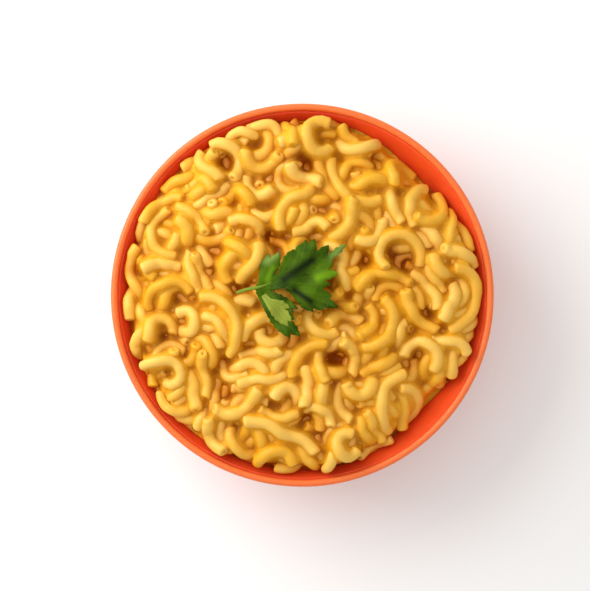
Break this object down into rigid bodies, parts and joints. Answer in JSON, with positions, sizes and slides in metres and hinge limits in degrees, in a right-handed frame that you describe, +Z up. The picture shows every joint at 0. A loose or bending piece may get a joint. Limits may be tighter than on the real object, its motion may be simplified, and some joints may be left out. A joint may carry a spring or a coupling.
{
  "type": "macaroni cheese in a bowl",
  "caption": "Heap of curled macaroni in cheese sauce, filling a round bowl with a rolled rim, topped with a leaf of flat parsley.",
  "frame": {"origin": "centre of the foot ring's resting face, on the surface that the bowl stands on", "axes": "+Z up along the bowl's axis, +Y towards the top of the picture, +X to its right"},
  "size_m": [0.19, 0.19, 0.0774],
  "materials": {
    "bowl": "smooth glossy orange plastic",
    "macaroni": "moist yellow pasta coated in smooth cheese sauce",
    "parsley": "thin satin green leaf with paler veins and underside"
  },
  "bodies": {
    "root": {"bowl": "bowl", "macaroni": "macaroni", "parsley": "parsley"}
  },
  "joints": []
}
